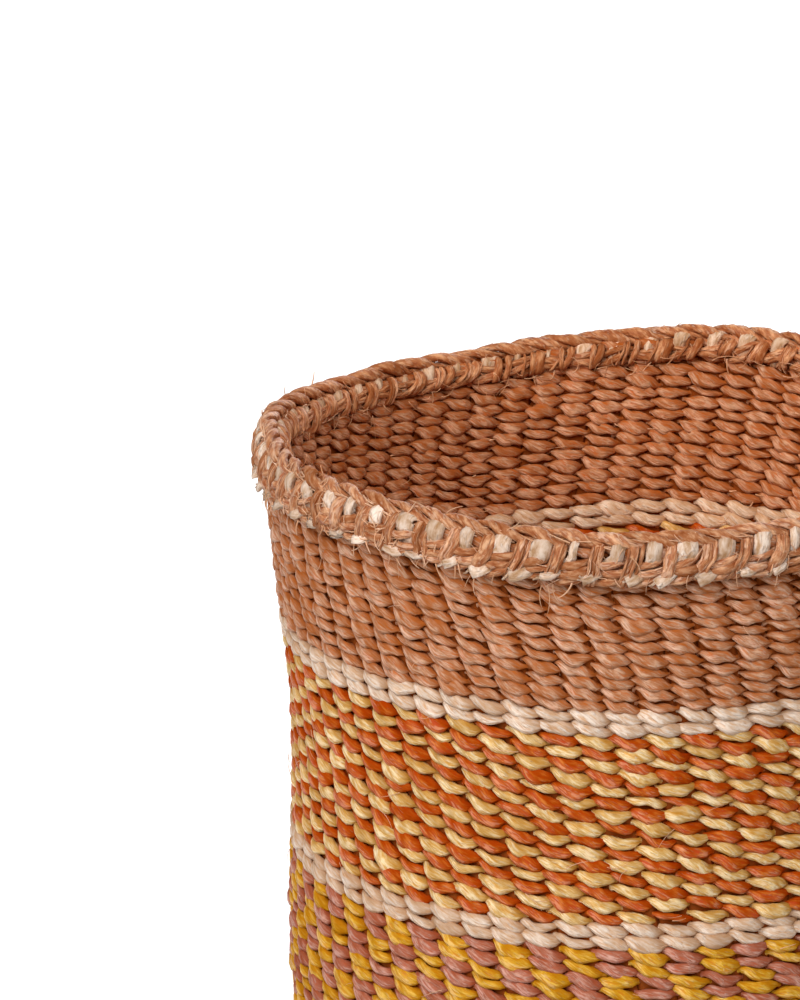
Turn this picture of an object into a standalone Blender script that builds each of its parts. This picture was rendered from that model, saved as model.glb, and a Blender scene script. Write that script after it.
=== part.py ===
"""A round twined sisal basket, open at the top, with a corded rim.

The wall is a stack of bands of yarn twined round upright warps. At the rim the warps fold over to the
outside, a binding yarn holds their ends down, and a cord of two twisted strands closes the edge.
Sizes are in metres. The basket stands on z = 0 and its axis is Z.
"""

import math

import bmesh
import bpy

MM = 0.001

# Counts. The warps set the rhythm of the rim: one folded end and one scallop of the cord for each.
WARPS = 66
TURN_STEPS = 48
CORD_POINTS_PER_TURN = 6
FOOT_ARC_STEPS = 4

# The gap that every two touching pieces keep, and the distance within which turned seams merge.
CLEARANCE = 0.3 * MM
MERGE = 0.05 * MM

# The wall's outer face, from the table up: a rounded foot, a belly, a waist and a neck.
FOOT_TURN = 9.5 * MM
FOOT_RADIUS = 92.5 * MM
BELLY_RADIUS = 94.5 * MM
WAIST_RADIUS = 92.5 * MM
NECK_RADIUS = 97.2 * MM
WALL = 6.0 * MM

# The base: a woven disc round a small lashed start. The wall's yarn turns in under it by BASE_LIP.
BASE_THICKNESS = 5.0 * MM
BASE_LIP = 5.0 * MM
START_RADIUS = 9.0 * MM
START_DOME = 1.2 * MM

# Heights of the bands, counted in rows of weft where the rows can be counted.
LOWER_TAN_HEIGHT = 28.0 * MM
CREAM_ROWS = 2
CREAM_ROW = 3.3 * MM
MUSTARD_MAUVE_ROWS = 16
MUSTARD_MAUVE_ROW = 3.4 * MM
ORANGE_STRAW_ROWS = 15
ORANGE_STRAW_ROW = 3.3 * MM
UPPER_TAN_ROWS = 10
UPPER_TAN_ROW = 3.3 * MM

# The rim, outside the neck: cut ends lowest, then the binding, then the fold, then the cord.
END_HEIGHT = 2.7 * MM
END_THICKNESS = 1.3 * MM
END_WIDTH_SHARE = 0.46
END_SLANT_SHARE = -0.40
END_PROUD = 1.2 * MM
BINDING_HEIGHT = 3.5 * MM
BINDING_THICKNESS = 1.3 * MM
BINDING_GROOVE = 0.5 * MM
FOLD_HEIGHT = 2.2 * MM
FOLD_WIDTH = 5.2 * MM
STRAND_RADIUS = 1.3 * MM

# Colours of the yarns, as seen in daylight, and the sheen of combed sisal.
TAN = (0.48, 0.20, 0.09, 1.0)
CREAM = (0.73, 0.58, 0.43, 1.0)
MUSTARD_MAUVE = (0.52, 0.26, 0.06, 1.0)
ORANGE_STRAW = (0.61, 0.27, 0.06, 1.0)
WARP_CREAM = (0.70, 0.61, 0.46, 1.0)
YARN_ROUGHNESS = 0.62


def clear_scene():
    for thing in list(bpy.data.objects):
        bpy.data.objects.remove(thing, do_unlink=True)


def yarn_material(name, colour):
    material = bpy.data.materials.new(name)
    material.use_nodes = True
    shader = material.node_tree.nodes["Principled BSDF"]
    shader.inputs["Base Color"].default_value = colour
    shader.inputs["Roughness"].default_value = YARN_ROUGHNESS
    material.diffuse_color = colour
    return material


def add_part(name, data, colour):
    part = bpy.data.objects.new(name, data)
    data.materials.append(yarn_material(name + "_yarn", colour))
    basket.objects.link(part)
    part.parent = stand
    return part


def turned(name, profile, colour):
    """A solid of revolution from a closed profile that runs down its outer side first."""
    points = [(radius, 0.0, height) for radius, height in profile]
    edges = [(i, (i + 1) % len(points)) for i in range(len(points))]
    mesh = bpy.data.meshes.new(name)
    mesh.from_pydata(points, edges, [])
    part = add_part(name, mesh, colour)
    screw = part.modifiers.new("Turn", "SCREW")
    screw.axis = "Z"
    screw.angle = math.tau
    screw.steps = TURN_STEPS
    screw.render_steps = TURN_STEPS
    screw.use_merge_vertices = True
    screw.merge_threshold = MERGE
    screw.use_smooth_shade = True
    return part


def eased(start, end, share):
    """Half a cosine wave from start to end, level at both."""
    return start + (end - start) * (1 - math.cos(math.pi * share)) / 2


def wall_radius(height):
    """Outer radius of the wall above the foot's turn, at a height over the table."""
    for (low, low_radius), (high, high_radius) in zip(wall_stations, wall_stations[1:]):
        if height <= high:
            return eased(low_radius, high_radius, max(0.0, (height - low) / (high - low)))
    return NECK_RADIUS


def wall_band(name, bottom, top, steps, colour, collar=()):
    """One band of the wall. A collar adds heights above the neck, where the wall runs straight up."""
    low = bottom + CLEARANCE / 2
    high = top - CLEARANCE / 2
    heights = [low + (high - low) * i / steps for i in range(steps + 1)] + list(collar)
    outer = [(wall_radius(height), height) for height in reversed(heights)]
    inner = [(wall_radius(height) - WALL, height) for height in heights]
    return turned(name, outer + inner, colour)


def arc(centre_radius, centre_height, radius, steps):
    """A quarter circle in the profile plane, from level with its centre down to below it."""
    points = []
    for i in range(steps + 1):
        angle = math.pi / 2 * i / steps
        points.append((centre_radius + radius * math.cos(angle), centre_height - radius * math.sin(angle)))
    return points


def around(point, angle):
    """The point turned about the basket's axis."""
    return (
        point.x * math.cos(angle) - point.y * math.sin(angle),
        point.x * math.sin(angle) + point.y * math.cos(angle),
        point.z,
    )


def ring_of_sections(sections):
    """A closed ring through many sections, each a list of (angle, radius, height) points."""
    mesh = bmesh.new()
    rings = []
    for section in sections:
        points = []
        for angle, radius, height in section:
            points.append(mesh.verts.new((radius * math.cos(angle), radius * math.sin(angle), height)))
        rings.append(points)
    for here, there in zip(rings, rings[1:] + rings[:1]):
        count = len(here)
        for i in range(count):
            j = (i + 1) % count
            mesh.faces.new((here[i], here[j], there[j], there[i]))
    bmesh.ops.recalc_face_normals(mesh, faces=mesh.faces)
    return mesh


def make_warp_ends(name):
    """The warps where they fold over the edge: a ring under the cord with a tab for each warp.

    Each tab stands proud under the cord, passes down behind the binding, slants to one side as it goes,
    and ends in a thick cut tuft below the binding.
    """
    tab_inner = NECK_RADIUS + CLEARANCE
    tab_outer = tab_inner + END_THICKNESS
    ring_inner = tab_outer - FOLD_WIDTH
    pitch = math.tau / WARPS
    sections = []
    for i in range(WARPS):
        for side in (-1, 1):
            angle = pitch * (i + side * END_WIDTH_SHARE / 2)
            sections.append([
                (angle, tab_outer, fold_top),
                (angle, tab_outer, fold_bottom),
                (angle, tab_inner, fold_bottom),
                (angle, ring_inner, fold_bottom),
                (angle, ring_inner, fold_top),
            ])
    mesh = ring_of_sections(sections)
    half_end = pitch * END_WIDTH_SHARE / 2

    def on_a_warp(face):
        centre = face.calc_center_median()
        turn = math.atan2(centre.y, centre.x) / pitch
        return abs(turn - round(turn)) * pitch < half_end

    def is_outer(face):
        centre = face.calc_center_median()
        return on_a_warp(face) and abs(face.normal.z) < 0.5 and centre.xy.length > tab_inner

    def is_under_tab(face):
        centre = face.calc_center_median()
        return on_a_warp(face) and face.normal.z < -0.5 and centre.xy.length > tab_inner

    def push_out(faces):
        grown = bmesh.ops.extrude_discrete_faces(mesh, faces=faces)["faces"]
        for face in grown:
            bmesh.ops.translate(mesh, verts=face.verts, vec=face.normal * END_PROUD)

    def draw_down(faces, length, slant):
        grown = bmesh.ops.extrude_discrete_faces(mesh, faces=faces)["faces"]
        for face in grown:
            for point in face.verts:
                point.co = around(point.co, slant)
                point.co.z -= length
        return grown

    mesh.normal_update()
    outer_faces = [face for face in mesh.faces if is_outer(face)]
    under_tabs = [face for face in mesh.faces if is_under_tab(face)]
    push_out(outer_faces)
    behind_binding = fold_bottom - end_top
    tips = draw_down(under_tabs, behind_binding, pitch * END_SLANT_SHARE)
    before = set(mesh.faces)
    draw_down(tips, END_HEIGHT, 0.0)
    mesh.normal_update()
    new_sides = [face for face in mesh.faces if face not in before and abs(face.normal.z) < 0.5]
    push_out([face for face in new_sides if face.normal.dot(face.calc_center_median()) > 0.5 * NECK_RADIUS])
    data = bpy.data.meshes.new(name)
    mesh.to_mesh(data)
    mesh.free()
    return add_part(name, data, WARP_CREAM)


def make_binding(name):
    """The yarn that holds the ends down: a ring with a slanting loop over each warp."""
    inner = NECK_RADIUS + END_THICKNESS + 2 * CLEARANCE
    outer = inner + BINDING_THICKNESS
    pitch = math.tau / WARPS
    sections = []
    for i in range(WARPS):
        for place, radius in ((0.0, outer), (0.5, outer - BINDING_GROOVE)):
            angle = pitch * (i + place)
            slanted = angle + pitch * END_SLANT_SHARE
            sections.append([
                (angle, radius, binding_top),
                (slanted, radius, binding_bottom),
                (slanted, inner, binding_bottom),
                (angle, inner, binding_top),
            ])
    mesh = ring_of_sections(sections)
    data = bpy.data.meshes.new(name)
    mesh.to_mesh(data)
    mesh.free()
    return add_part(name, data, TAN)


def make_strand(name, phase):
    """One strand of the edge cord: a closed helix with half as many turns as there are warps."""
    turns = WARPS // 2
    count = turns * CORD_POINTS_PER_TURN
    curve = bpy.data.curves.new(name, "CURVE")
    curve.dimensions = "3D"
    curve.bevel_depth = STRAND_RADIUS
    curve.bevel_resolution = 1
    curve.use_fill_caps = True
    spline = curve.splines.new("POLY")
    spline.points.add(count - 1)
    for i in range(count):
        around_basket = math.tau * i / count
        around_cord = -math.tau * i / CORD_POINTS_PER_TURN + phase
        radius = cord_radius + strand_orbit * math.cos(around_cord)
        height = cord_height + strand_orbit * math.sin(around_cord)
        spline.points[i].co = (
            radius * math.cos(around_basket),
            radius * math.sin(around_basket),
            height,
            1.0,
        )
    spline.use_cyclic_u = True
    return add_part(name, curve, TAN)


clear_scene()
basket = bpy.data.collections.new("sisal_basket")
bpy.context.scene.collection.children.link(basket)
stand = bpy.data.objects.new("table_point", None)
basket.objects.link(stand)

# Band heights, stacked up from the table.
cream_height = CREAM_ROWS * CREAM_ROW
lower_cream_bottom = LOWER_TAN_HEIGHT
mustard_bottom = lower_cream_bottom + cream_height
middle_cream_bottom = mustard_bottom + MUSTARD_MAUVE_ROWS * MUSTARD_MAUVE_ROW
orange_bottom = middle_cream_bottom + cream_height
upper_cream_bottom = orange_bottom + ORANGE_STRAW_ROWS * ORANGE_STRAW_ROW
upper_tan_bottom = upper_cream_bottom + cream_height
wall_top = upper_tan_bottom + UPPER_TAN_ROWS * UPPER_TAN_ROW
wall_stations = [
    (FOOT_TURN, FOOT_RADIUS),
    ((mustard_bottom + middle_cream_bottom) / 2, BELLY_RADIUS),
    ((orange_bottom + upper_cream_bottom) / 2, WAIST_RADIUS),
    (wall_top, NECK_RADIUS),
]

# Heights in the rim, from the cut ends up to the top of the cord.
end_top = wall_top + END_HEIGHT
binding_bottom = end_top + CLEARANCE
binding_top = binding_bottom + BINDING_HEIGHT
fold_bottom = binding_top + CLEARANCE
fold_top = fold_bottom + FOLD_HEIGHT
strand_orbit = (STRAND_RADIUS + CLEARANCE / 2) / math.cos(math.pi / CORD_POINTS_PER_TURN)
cord_height = fold_top + CLEARANCE + STRAND_RADIUS + strand_orbit
cord_radius = NECK_RADIUS + CLEARANCE + END_THICKNESS - FOLD_WIDTH / 2

# Base: the lashed start in the middle, then the woven disc.
base_flat = FOOT_RADIUS - FOOT_TURN
seam_radius = base_flat - BASE_LIP
turned(
    "base_start",
    [
        (0.0, BASE_THICKNESS + START_DOME),
        (START_RADIUS / 2, BASE_THICKNESS + START_DOME / 2),
        (START_RADIUS, BASE_THICKNESS),
        (START_RADIUS, 0.0),
        (0.0, 0.0),
    ],
    TAN,
)
turned(
    "base_weave",
    [
        (seam_radius, BASE_THICKNESS),
        (seam_radius, 0.0),
        (START_RADIUS + CLEARANCE, 0.0),
        (START_RADIUS + CLEARANCE, BASE_THICKNESS),
    ],
    TAN,
)

# The wall's lowest band carries the rounded foot: its yarn turns in under the basket.
foot_top = LOWER_TAN_HEIGHT - CLEARANCE / 2
inner_turn = FOOT_TURN - WALL
inner_face = FOOT_RADIUS - WALL
turned(
    "lower_tan_band",
    [(wall_radius(foot_top), foot_top)]
    + arc(base_flat, FOOT_TURN, FOOT_TURN, FOOT_ARC_STEPS)
    + [(seam_radius + CLEARANCE, 0.0), (seam_radius + CLEARANCE, BASE_THICKNESS)]
    + arc(inner_face - inner_turn, BASE_THICKNESS + inner_turn, inner_turn, FOOT_ARC_STEPS // 2)[::-1]
    + [(wall_radius(foot_top) - WALL, foot_top)],
    TAN,
)

# The bands above it. The top one runs on up behind the folded warp ends, to just under the fold.
wall_band("lower_cream_stripe", lower_cream_bottom, mustard_bottom, 1, CREAM)
wall_band("mustard_mauve_band", mustard_bottom, middle_cream_bottom, 3, MUSTARD_MAUVE)
wall_band("middle_cream_stripe", middle_cream_bottom, orange_bottom, 1, CREAM)
wall_band("orange_straw_band", orange_bottom, upper_cream_bottom, 3, ORANGE_STRAW)
wall_band("upper_cream_stripe", upper_cream_bottom, upper_tan_bottom, 1, CREAM)
wall_band("upper_tan_band", upper_tan_bottom, wall_top, 2, TAN, collar=(fold_bottom - CLEARANCE,))

# The rim.
make_warp_ends("folded_warp_ends")
make_binding("rim_binding")
make_strand("rim_cord_strand_a", 0.0)
make_strand("rim_cord_strand_b", math.pi)
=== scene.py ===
import math

import bpy
import numpy as np
from mathutils import Matrix, Vector


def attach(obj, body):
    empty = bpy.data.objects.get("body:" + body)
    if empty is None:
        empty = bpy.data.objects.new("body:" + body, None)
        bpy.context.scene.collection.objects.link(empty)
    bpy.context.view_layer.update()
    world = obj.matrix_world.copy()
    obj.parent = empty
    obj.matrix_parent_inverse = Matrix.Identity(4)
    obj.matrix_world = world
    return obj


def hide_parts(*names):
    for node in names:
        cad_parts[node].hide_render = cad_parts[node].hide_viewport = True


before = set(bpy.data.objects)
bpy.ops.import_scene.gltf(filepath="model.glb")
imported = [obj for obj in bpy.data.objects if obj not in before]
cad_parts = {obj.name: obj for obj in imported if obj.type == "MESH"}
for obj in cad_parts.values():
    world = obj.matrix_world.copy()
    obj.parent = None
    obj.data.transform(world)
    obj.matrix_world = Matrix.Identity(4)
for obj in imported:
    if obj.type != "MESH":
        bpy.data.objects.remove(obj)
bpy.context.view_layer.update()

bpy.ops.object.select_all(action="DESELECT")

# The warps: stiff two-ply sisal cords that run out from the middle of the base, turn up at the foot
# and stand in the wall. All the wefts are twined round them, so they set the columns of the weave.
# Lengths are in millimetres until a mesh is made. Angle 0 faces the viewer, and angles grow to the right.
MM = 0.001
WARPS = 66
PITCH = math.tau / WARPS
FIRST_WARP = math.radians(-3.89)
FOOT_TURN = 9.5
FOOT_RADIUS = 92.5
WALL_TOP = 184.7
STATIONS = ((FOOT_TURN, FOOT_RADIUS), (61.8, 94.5), (120.35, 92.5), (WALL_TOP, 97.2))
HALF_WALL = 3.0
RIM_LEAN = 0.17
RIM_HEIGHT = 199.9
BASE_SINK = 0.45
FOOT_ARC = (FOOT_TURN - HALF_WALL) * math.pi / 2


def wall_middle(height):
    """Radius of the middle of the wall's thickness: a belly, a waist and a neck."""
    heights = np.asarray(height, float)
    radius = np.full(heights.shape, STATIONS[-1][1])
    for (low, low_radius), (high, high_radius) in reversed(list(zip(STATIONS, STATIONS[1:]))):
        share = np.clip((heights - low) / (high - low), 0, 1)
        eased = low_radius + (high_radius - low_radius) * (1 - np.cos(math.pi * share)) / 2
        radius = np.where(heights <= high, eased, radius)
    return radius - HALF_WALL + RIM_LEAN * np.clip(heights - WALL_TOP, 0, None)


def along_wall(way):
    """Radius, height and outward direction at a way along the middle of the basket's skin.

    The way is 0 where the flat base meets the foot's turn, below 0 on the base and above 0 up the wall.
    """
    way = np.asarray(way, float)
    turn = np.clip(way / (FOOT_TURN - HALF_WALL), 0, math.pi / 2)
    arc = FOOT_TURN - HALF_WALL
    sunk = BASE_SINK * np.clip(-way / 10, 0, 1)
    up = np.clip(way - FOOT_ARC, 0, None)
    height = FOOT_TURN - arc * np.cos(turn) + up - sunk
    flat = FOOT_RADIUS - FOOT_TURN
    radius = np.where(way > FOOT_ARC, wall_middle(height), flat + arc * np.sin(turn) + np.clip(way, None, 0))
    return radius, height, np.sin(turn), -np.cos(turn)


# The columns drift to one side, by degrees for each millimetre above and below a level under the rim.
LEAN_DEPTH = 56.9
LEAN_ABOVE = 0.125
LEAN_BELOW = 0.137


def lean(height):
    """How far the columns have drifted to the right at a height, in radians."""
    depth = RIM_HEIGHT - np.asarray(height, float)
    drift = np.where(depth > LEAN_DEPTH, LEAN_BELOW, LEAN_ABOVE) * (depth - LEAN_DEPTH)
    return np.radians(drift)


# The hand-made edge: waves of (times round, rise, shift), and bumps of (middle, half width, rise). They die
# out down the wall, below the foot given here, and the edge is drawn in a little at the far left.
EDGE_WAVES = ((1, 0.35, 1.13), (2, 1.1, 2.11), (3, 0.9, -2.65), (5, 0.5, -2.1))
EDGE_BUMPS = ((2.79, 0.22, 0.8), (-1.6, 0.3, 2.6))
EDGE_FOOT = 85.0
EDGE_REACH = 115.0
PINCH = 0.011
PINCH_MIDDLE = -1.45
PINCH_WIDTH = 0.25
PINCH_FOOT = 184.0
PINCH_REACH = 6.0


def sway(points):
    """The hand-made edge isn't level: it rises and dips gently, less and less down the wall."""
    turn = np.arctan2(points[..., 0], -points[..., 1])
    height = points[..., 2]
    wave = 0.0
    for times, rise, shift in EDGE_WAVES:
        wave = wave + rise * np.cos(times * turn + shift)
    for middle, width, rise in EDGE_BUMPS:
        apart = (turn - middle + math.pi) % math.tau - math.pi
        wave = wave + rise * np.exp(-(apart / width) ** 2)
    fade = np.clip((height - EDGE_FOOT) / EDGE_REACH, 0, 1) ** 1.2
    pinch = PINCH * np.exp(-((turn - PINCH_MIDDLE) / PINCH_WIDTH) ** 2)
    pinch = pinch * np.clip((height - PINCH_FOOT) / PINCH_REACH, 0, 1)
    moved = points.copy()
    moved[..., :2] *= (1 - pinch)[..., None]
    moved[..., 2] = height + wave * fade
    return moved


chance = np.random.default_rng(1937)


def smooth_chance(count, repeat, amount):
    """A closed ring of gentle random values, eased from one to the next over a number of points."""
    knots = chance.normal(0, amount, count)
    place = np.arange(round(count * repeat)) / repeat
    low = np.floor(place).astype(int)
    share = (1 - np.cos(math.pi * (place - low))) / 2
    return knots[low % count] * (1 - share) + knots[(low + 1) % count] * share


def unit(vectors):
    """The same directions at length 1."""
    return vectors / np.linalg.norm(vectors, axis=-1, keepdims=True)


def on_skin(turn, way, out=0.0, up=0.0):
    """Points at an angle and a way, moved out from the skin and up along it, and the outward directions."""
    radius, height, out_radius, out_height = along_wall(way)
    spread = radius + out * out_radius - up * out_height
    level = height + out * out_height + up * out_radius
    points = np.stack([spread * np.sin(turn), -spread * np.cos(turn), level], -1)
    outward = np.stack([
        out_radius * np.sin(turn),
        -out_radius * np.cos(turn),
        out_height + 0 * np.asarray(turn, float),
    ], -1)
    return points, outward


def tube(centre, outward, tall, deep, twist=0.0, lobes=0.0, sides=8, closed=True, combed=0.0, section=None):
    """Skin of one yarn: rings of points round a path, tall along the skin and deep across it.

    Twist is the turn of the plies along the path, lobes how far their two ridges stand out, and combed
    how uneven the fibres leave the skin. A section of (up, out) corners doesn't turn with the plies.
    """
    if closed:
        ahead = np.roll(centre, -1, 0) - np.roll(centre, 1, 0)
    else:
        ahead = np.gradient(centre, axis=0)
    ahead = unit(ahead)
    upward = unit(np.cross(outward, ahead))
    across = np.cross(ahead, upward)
    corner = math.tau * np.arange(sides) / sides
    twist = np.broadcast_to(np.asarray(twist, float), centre.shape[:1])[:, None]
    if section is None:
        high, wide = np.cos(corner + twist), np.sin(corner + twist)
        ridge = 1 - lobes * (0.5 - 0.5 * np.cos(2 * corner))[None, :]
    else:
        high, wide = np.asarray(section, float).T[:, None, :]
        ridge = 1 - lobes * (0.5 - 0.5 * np.cos(2 * (np.arctan2(wide, high) - twist)))
    if combed:
        ridge = ridge + combed * chance.normal(0, 1, (1, sides))
        knots = max(2, len(centre) // 6)
        ridge = ridge + combed * smooth_chance(knots, len(centre) / knots, 1.0)[:, None]
    tall = np.broadcast_to(np.asarray(tall, float), centre.shape[:1])[:, None]
    deep = np.broadcast_to(np.asarray(deep, float), centre.shape[:1])[:, None]
    high = (tall * high * ridge)[..., None] * upward[:, None, :]
    wide = (deep * wide * ridge)[..., None] * across[:, None, :]
    return centre[:, None, :] + high + wide


def depth_inside(points):
    """From 0 on the outside of the basket to 1 on the faces that look into it."""
    radius = np.hypot(points[:, 0], points[:, 1])
    height = points[:, 2]
    round_foot = np.hypot(np.clip(radius - FOOT_RADIUS + FOOT_TURN, 0, None), FOOT_TURN - height)
    depth = np.where(height > FOOT_TURN, wall_middle(height) - radius, FOOT_TURN - HALF_WALL - round_foot)
    return np.clip(depth, 0, 1)


FLOOR_GAP = 0.03


def join_tubes(name, tubes, closed=True):
    """One mesh from many tubes of (rings of points, length along, tone, spin), with yarn map and tones.

    Spin is how far the fibres have turned against the corners of the rings, in turns.
    """
    points, faces, marks, tones = [], [], [], []
    start = 0
    for rings, along, tone, spin in tubes:
        count, sides = rings.shape[:2]
        index = np.arange(count * sides).reshape(count, sides) + start
        last = count if closed else count - 1
        here = np.arange(last)
        there = (here + 1) % count
        side = np.arange(sides)
        next_side = (side + 1) % sides
        quads = np.stack([
            index[here][:, side],
            index[here][:, next_side],
            index[there][:, next_side],
            index[there][:, side],
        ], -1).reshape(-1, 4)
        ends = np.append(along, along[-1] + (along[-1] - along[-2]))
        first = np.broadcast_to(ends[:last, None], (last, sides))
        second = np.broadcast_to(ends[1:last + 1, None], (last, sides))
        spin = np.broadcast_to(spin, (count,))
        spin = np.append(spin, spin[-1] + (spin[-1] - spin[-2]))
        low = side[None, :] / sides + spin[:last, None]
        low_ahead = side[None, :] / sides + spin[1:last + 1, None]
        mark = np.stack([
            np.stack([first, low], -1),
            np.stack([first, low + 1 / sides], -1),
            np.stack([second, low_ahead + 1 / sides], -1),
            np.stack([second, low_ahead], -1),
        ], 2).reshape(-1, 4, 2)
        faces.append(quads)
        marks.append(mark)
        if not closed:
            for ring, turned_round in ((index[0], False), (index[-1], True)):
                for k in range(sides // 2 - 1):
                    cap = [ring[k], ring[k + 1], ring[sides - 2 - k], ring[sides - 1 - k]]
                    faces.append(np.array([cap if turned_round else cap[::-1]]))
                    marks.append(np.full((1, 4, 2), 0.1))
        points.append(rings.reshape(-1, 3))
        tone = np.asarray(tone, float)
        tone = tone[:, None] if tone.ndim == 1 else tone
        tones.append(np.broadcast_to(tone, (count, sides)).ravel())
        start += count * sides
    points = np.concatenate(points)
    inside = depth_inside(points)
    points = sway(points)
    points[:, 2] = np.maximum(points[:, 2], FLOOR_GAP)
    mesh = bpy.data.meshes.new(name)
    mesh.from_pydata(points * MM, [], np.concatenate(faces))
    layer = mesh.uv_layers.new(name="along_yarn")
    layer.data.foreach_set("uv", np.concatenate(marks).astype(np.float32).ravel())
    layer = mesh.attributes.new("tone", "FLOAT", "POINT")
    layer.data.foreach_set("value", np.concatenate(tones).astype(np.float32))
    layer = mesh.attributes.new("inside", "FLOAT", "POINT")
    layer.data.foreach_set("value", inside.astype(np.float32))
    mesh.shade_smooth()
    piece = bpy.data.objects.new(name, mesh)
    bpy.context.scene.collection.objects.link(piece)
    return piece


# A redder tint for the faces that look into the basket: painted bounce light from its walls.
INSIDE_BOUNCE_TINT = (1.12, 0.99, 0.85)


def sisal(name, body, tip, dark_streaks_and_shade, streak_width=13, roughness=0.5, fuzz=1.4, stray_light=0.5):
    """Dyed sisal: long fibres in light and dark streaks, darker where the tone is low, with a soft gloss.

    The tone carries painted shade and painted highlights besides its random part. The faces that look
    into the basket get a redder tint: painted bounce light.
    """
    finish = bpy.data.materials.new(name)
    finish.use_nodes = True
    nodes = finish.node_tree.nodes
    links = finish.node_tree.links
    shader = nodes["Principled BSDF"]
    shader.inputs["Roughness"].default_value = roughness

    yarn_map = nodes.new("ShaderNodeUVMap")
    yarn_map.uv_map = "along_yarn"

    def fibre_noise(along_scale, across_scale, detail):
        stretched = nodes.new("ShaderNodeMapping")
        stretched.inputs["Scale"].default_value = (along_scale, across_scale, 1.0)
        links.new(yarn_map.outputs["UV"], stretched.inputs["Vector"])
        noise = nodes.new("ShaderNodeTexNoise")
        noise.inputs["Scale"].default_value = 1.0
        noise.inputs["Detail"].default_value = detail
        noise.inputs["Roughness"].default_value = 0.6
        links.new(stretched.outputs["Vector"], noise.inputs["Vector"])
        return noise

    def mapped(source, low, high, to_low, to_high):
        node = nodes.new("ShaderNodeMapRange")
        node.inputs["From Min"].default_value = low
        node.inputs["From Max"].default_value = high
        node.inputs["To Min"].default_value = to_low
        node.inputs["To Max"].default_value = to_high
        links.new(source, node.inputs["Value"])
        return node.outputs["Result"]

    def combined(operation, first, second):
        node = nodes.new("ShaderNodeMath")
        node.operation = operation
        links.new(first, node.inputs[0])
        links.new(second, node.inputs[1])
        return node.outputs["Value"]

    def mixed(factor, first, second):
        node = nodes.new("ShaderNodeMix")
        node.data_type = "RGBA"
        links.new(factor, node.inputs["Factor"])
        for socket, value in (("A", first), ("B", second)):
            if isinstance(value, tuple):
                node.inputs[socket].default_value = (*value, 1)
            else:
                links.new(value, node.inputs[socket])
        return node.outputs["Result"]

    # Long fibres along the yarn, each between the dark colour, the body's and the tip's. The dark colour
    # is also the painted shade of the pits.
    fibres = fibre_noise(0.32, streak_width, 4.0)
    colours = nodes.new("ShaderNodeValToRGB")
    colours.color_ramp.elements[0].position = 0.35
    colours.color_ramp.elements[0].color = (*dark_streaks_and_shade, 1)
    colours.color_ramp.elements[1].position = 0.64
    colours.color_ramp.elements[1].color = (*tip, 1)
    middle = colours.color_ramp.elements.new(0.5)
    middle.color = (*body, 1)
    links.new(fibres.outputs["Fac"], colours.inputs["Fac"])

    # Painted highlights: pale streaks as of a few loose fibres catching the light, more of them where
    # the tone is high.
    tone = nodes.new("ShaderNodeAttribute")
    tone.attribute_name = "tone"
    loose = fibre_noise(0.42, 1.4 * streak_width, 1.0)
    nearer = mapped(tone.outputs["Fac"], 0.7, 1.3, -0.12, 0.12)
    lit = mapped(combined("ADD", loose.outputs["Fac"], nearer), 0.56, 0.64, 0.0, stray_light)
    pale = tuple(value + 0.14 * (1 - value) for value in tip)
    streaked = mixed(lit, colours.outputs["Color"], pale)

    # Uneven dye, and painted shade: the colour turns to the dark colour in the pits between the stitches,
    # where the tone is low, and the tone scales its brightness.
    place = nodes.new("ShaderNodeTexCoord")
    patches = nodes.new("ShaderNodeTexNoise")
    patches.inputs["Scale"].default_value = 70.0
    patches.inputs["Detail"].default_value = 1.0
    links.new(place.outputs["Object"], patches.inputs["Vector"])
    patchy = mapped(patches.outputs["Fac"], 0.3, 0.7, 0.9, 1.1)
    toned = combined("MULTIPLY", tone.outputs["Fac"], patchy)
    pit_shaded = mixed(mapped(toned, 0.45, 0.95, 0.0, 1.0), dark_streaks_and_shade, streaked)
    dye_and_shade = nodes.new("ShaderNodeVectorMath")
    dye_and_shade.operation = "SCALE"
    links.new(pit_shaded, dye_and_shade.inputs[0])
    links.new(mapped(toned, 0.6, 1.4, 0.8, 1.25), dye_and_shade.inputs["Scale"])
    # Painted bounce light: a redder tint on the faces that look into the basket. Gloss on the high parts
    # alone.
    inside = nodes.new("ShaderNodeAttribute")
    inside.attribute_name = "inside"
    bounce_tinted = nodes.new("ShaderNodeVectorMath")
    bounce_tinted.operation = "MULTIPLY"
    links.new(dye_and_shade.outputs["Vector"], bounce_tinted.inputs[0])
    links.new(mixed(inside.outputs["Fac"], (1.0, 1.0, 1.0), INSIDE_BOUNCE_TINT), bounce_tinted.inputs[1])
    links.new(bounce_tinted.outputs["Vector"], shader.inputs["Base Color"])
    links.new(mapped(toned, 0.8, 1.2, 0.0, 0.35), shader.inputs["Specular IOR Level"])

    raised = nodes.new("ShaderNodeBump")
    raised.inputs["Strength"].default_value = 0.9
    raised.inputs["Distance"].default_value = 0.25 * fuzz * MM
    links.new(combined("ADD", fibres.outputs["Fac"], lit), raised.inputs["Height"])
    links.new(raised.outputs["Normal"], shader.inputs["Normal"])
    return finish


def dress(piece, finish, slot, *stands_for):
    """Gives a finished piece its material and body, and hides the CAD solids that it stands for. The slot is
    not used.
    """
    piece.data.materials.append(finish)
    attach(piece, "root")
    if stands_for:
        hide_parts(*stands_for)


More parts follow.
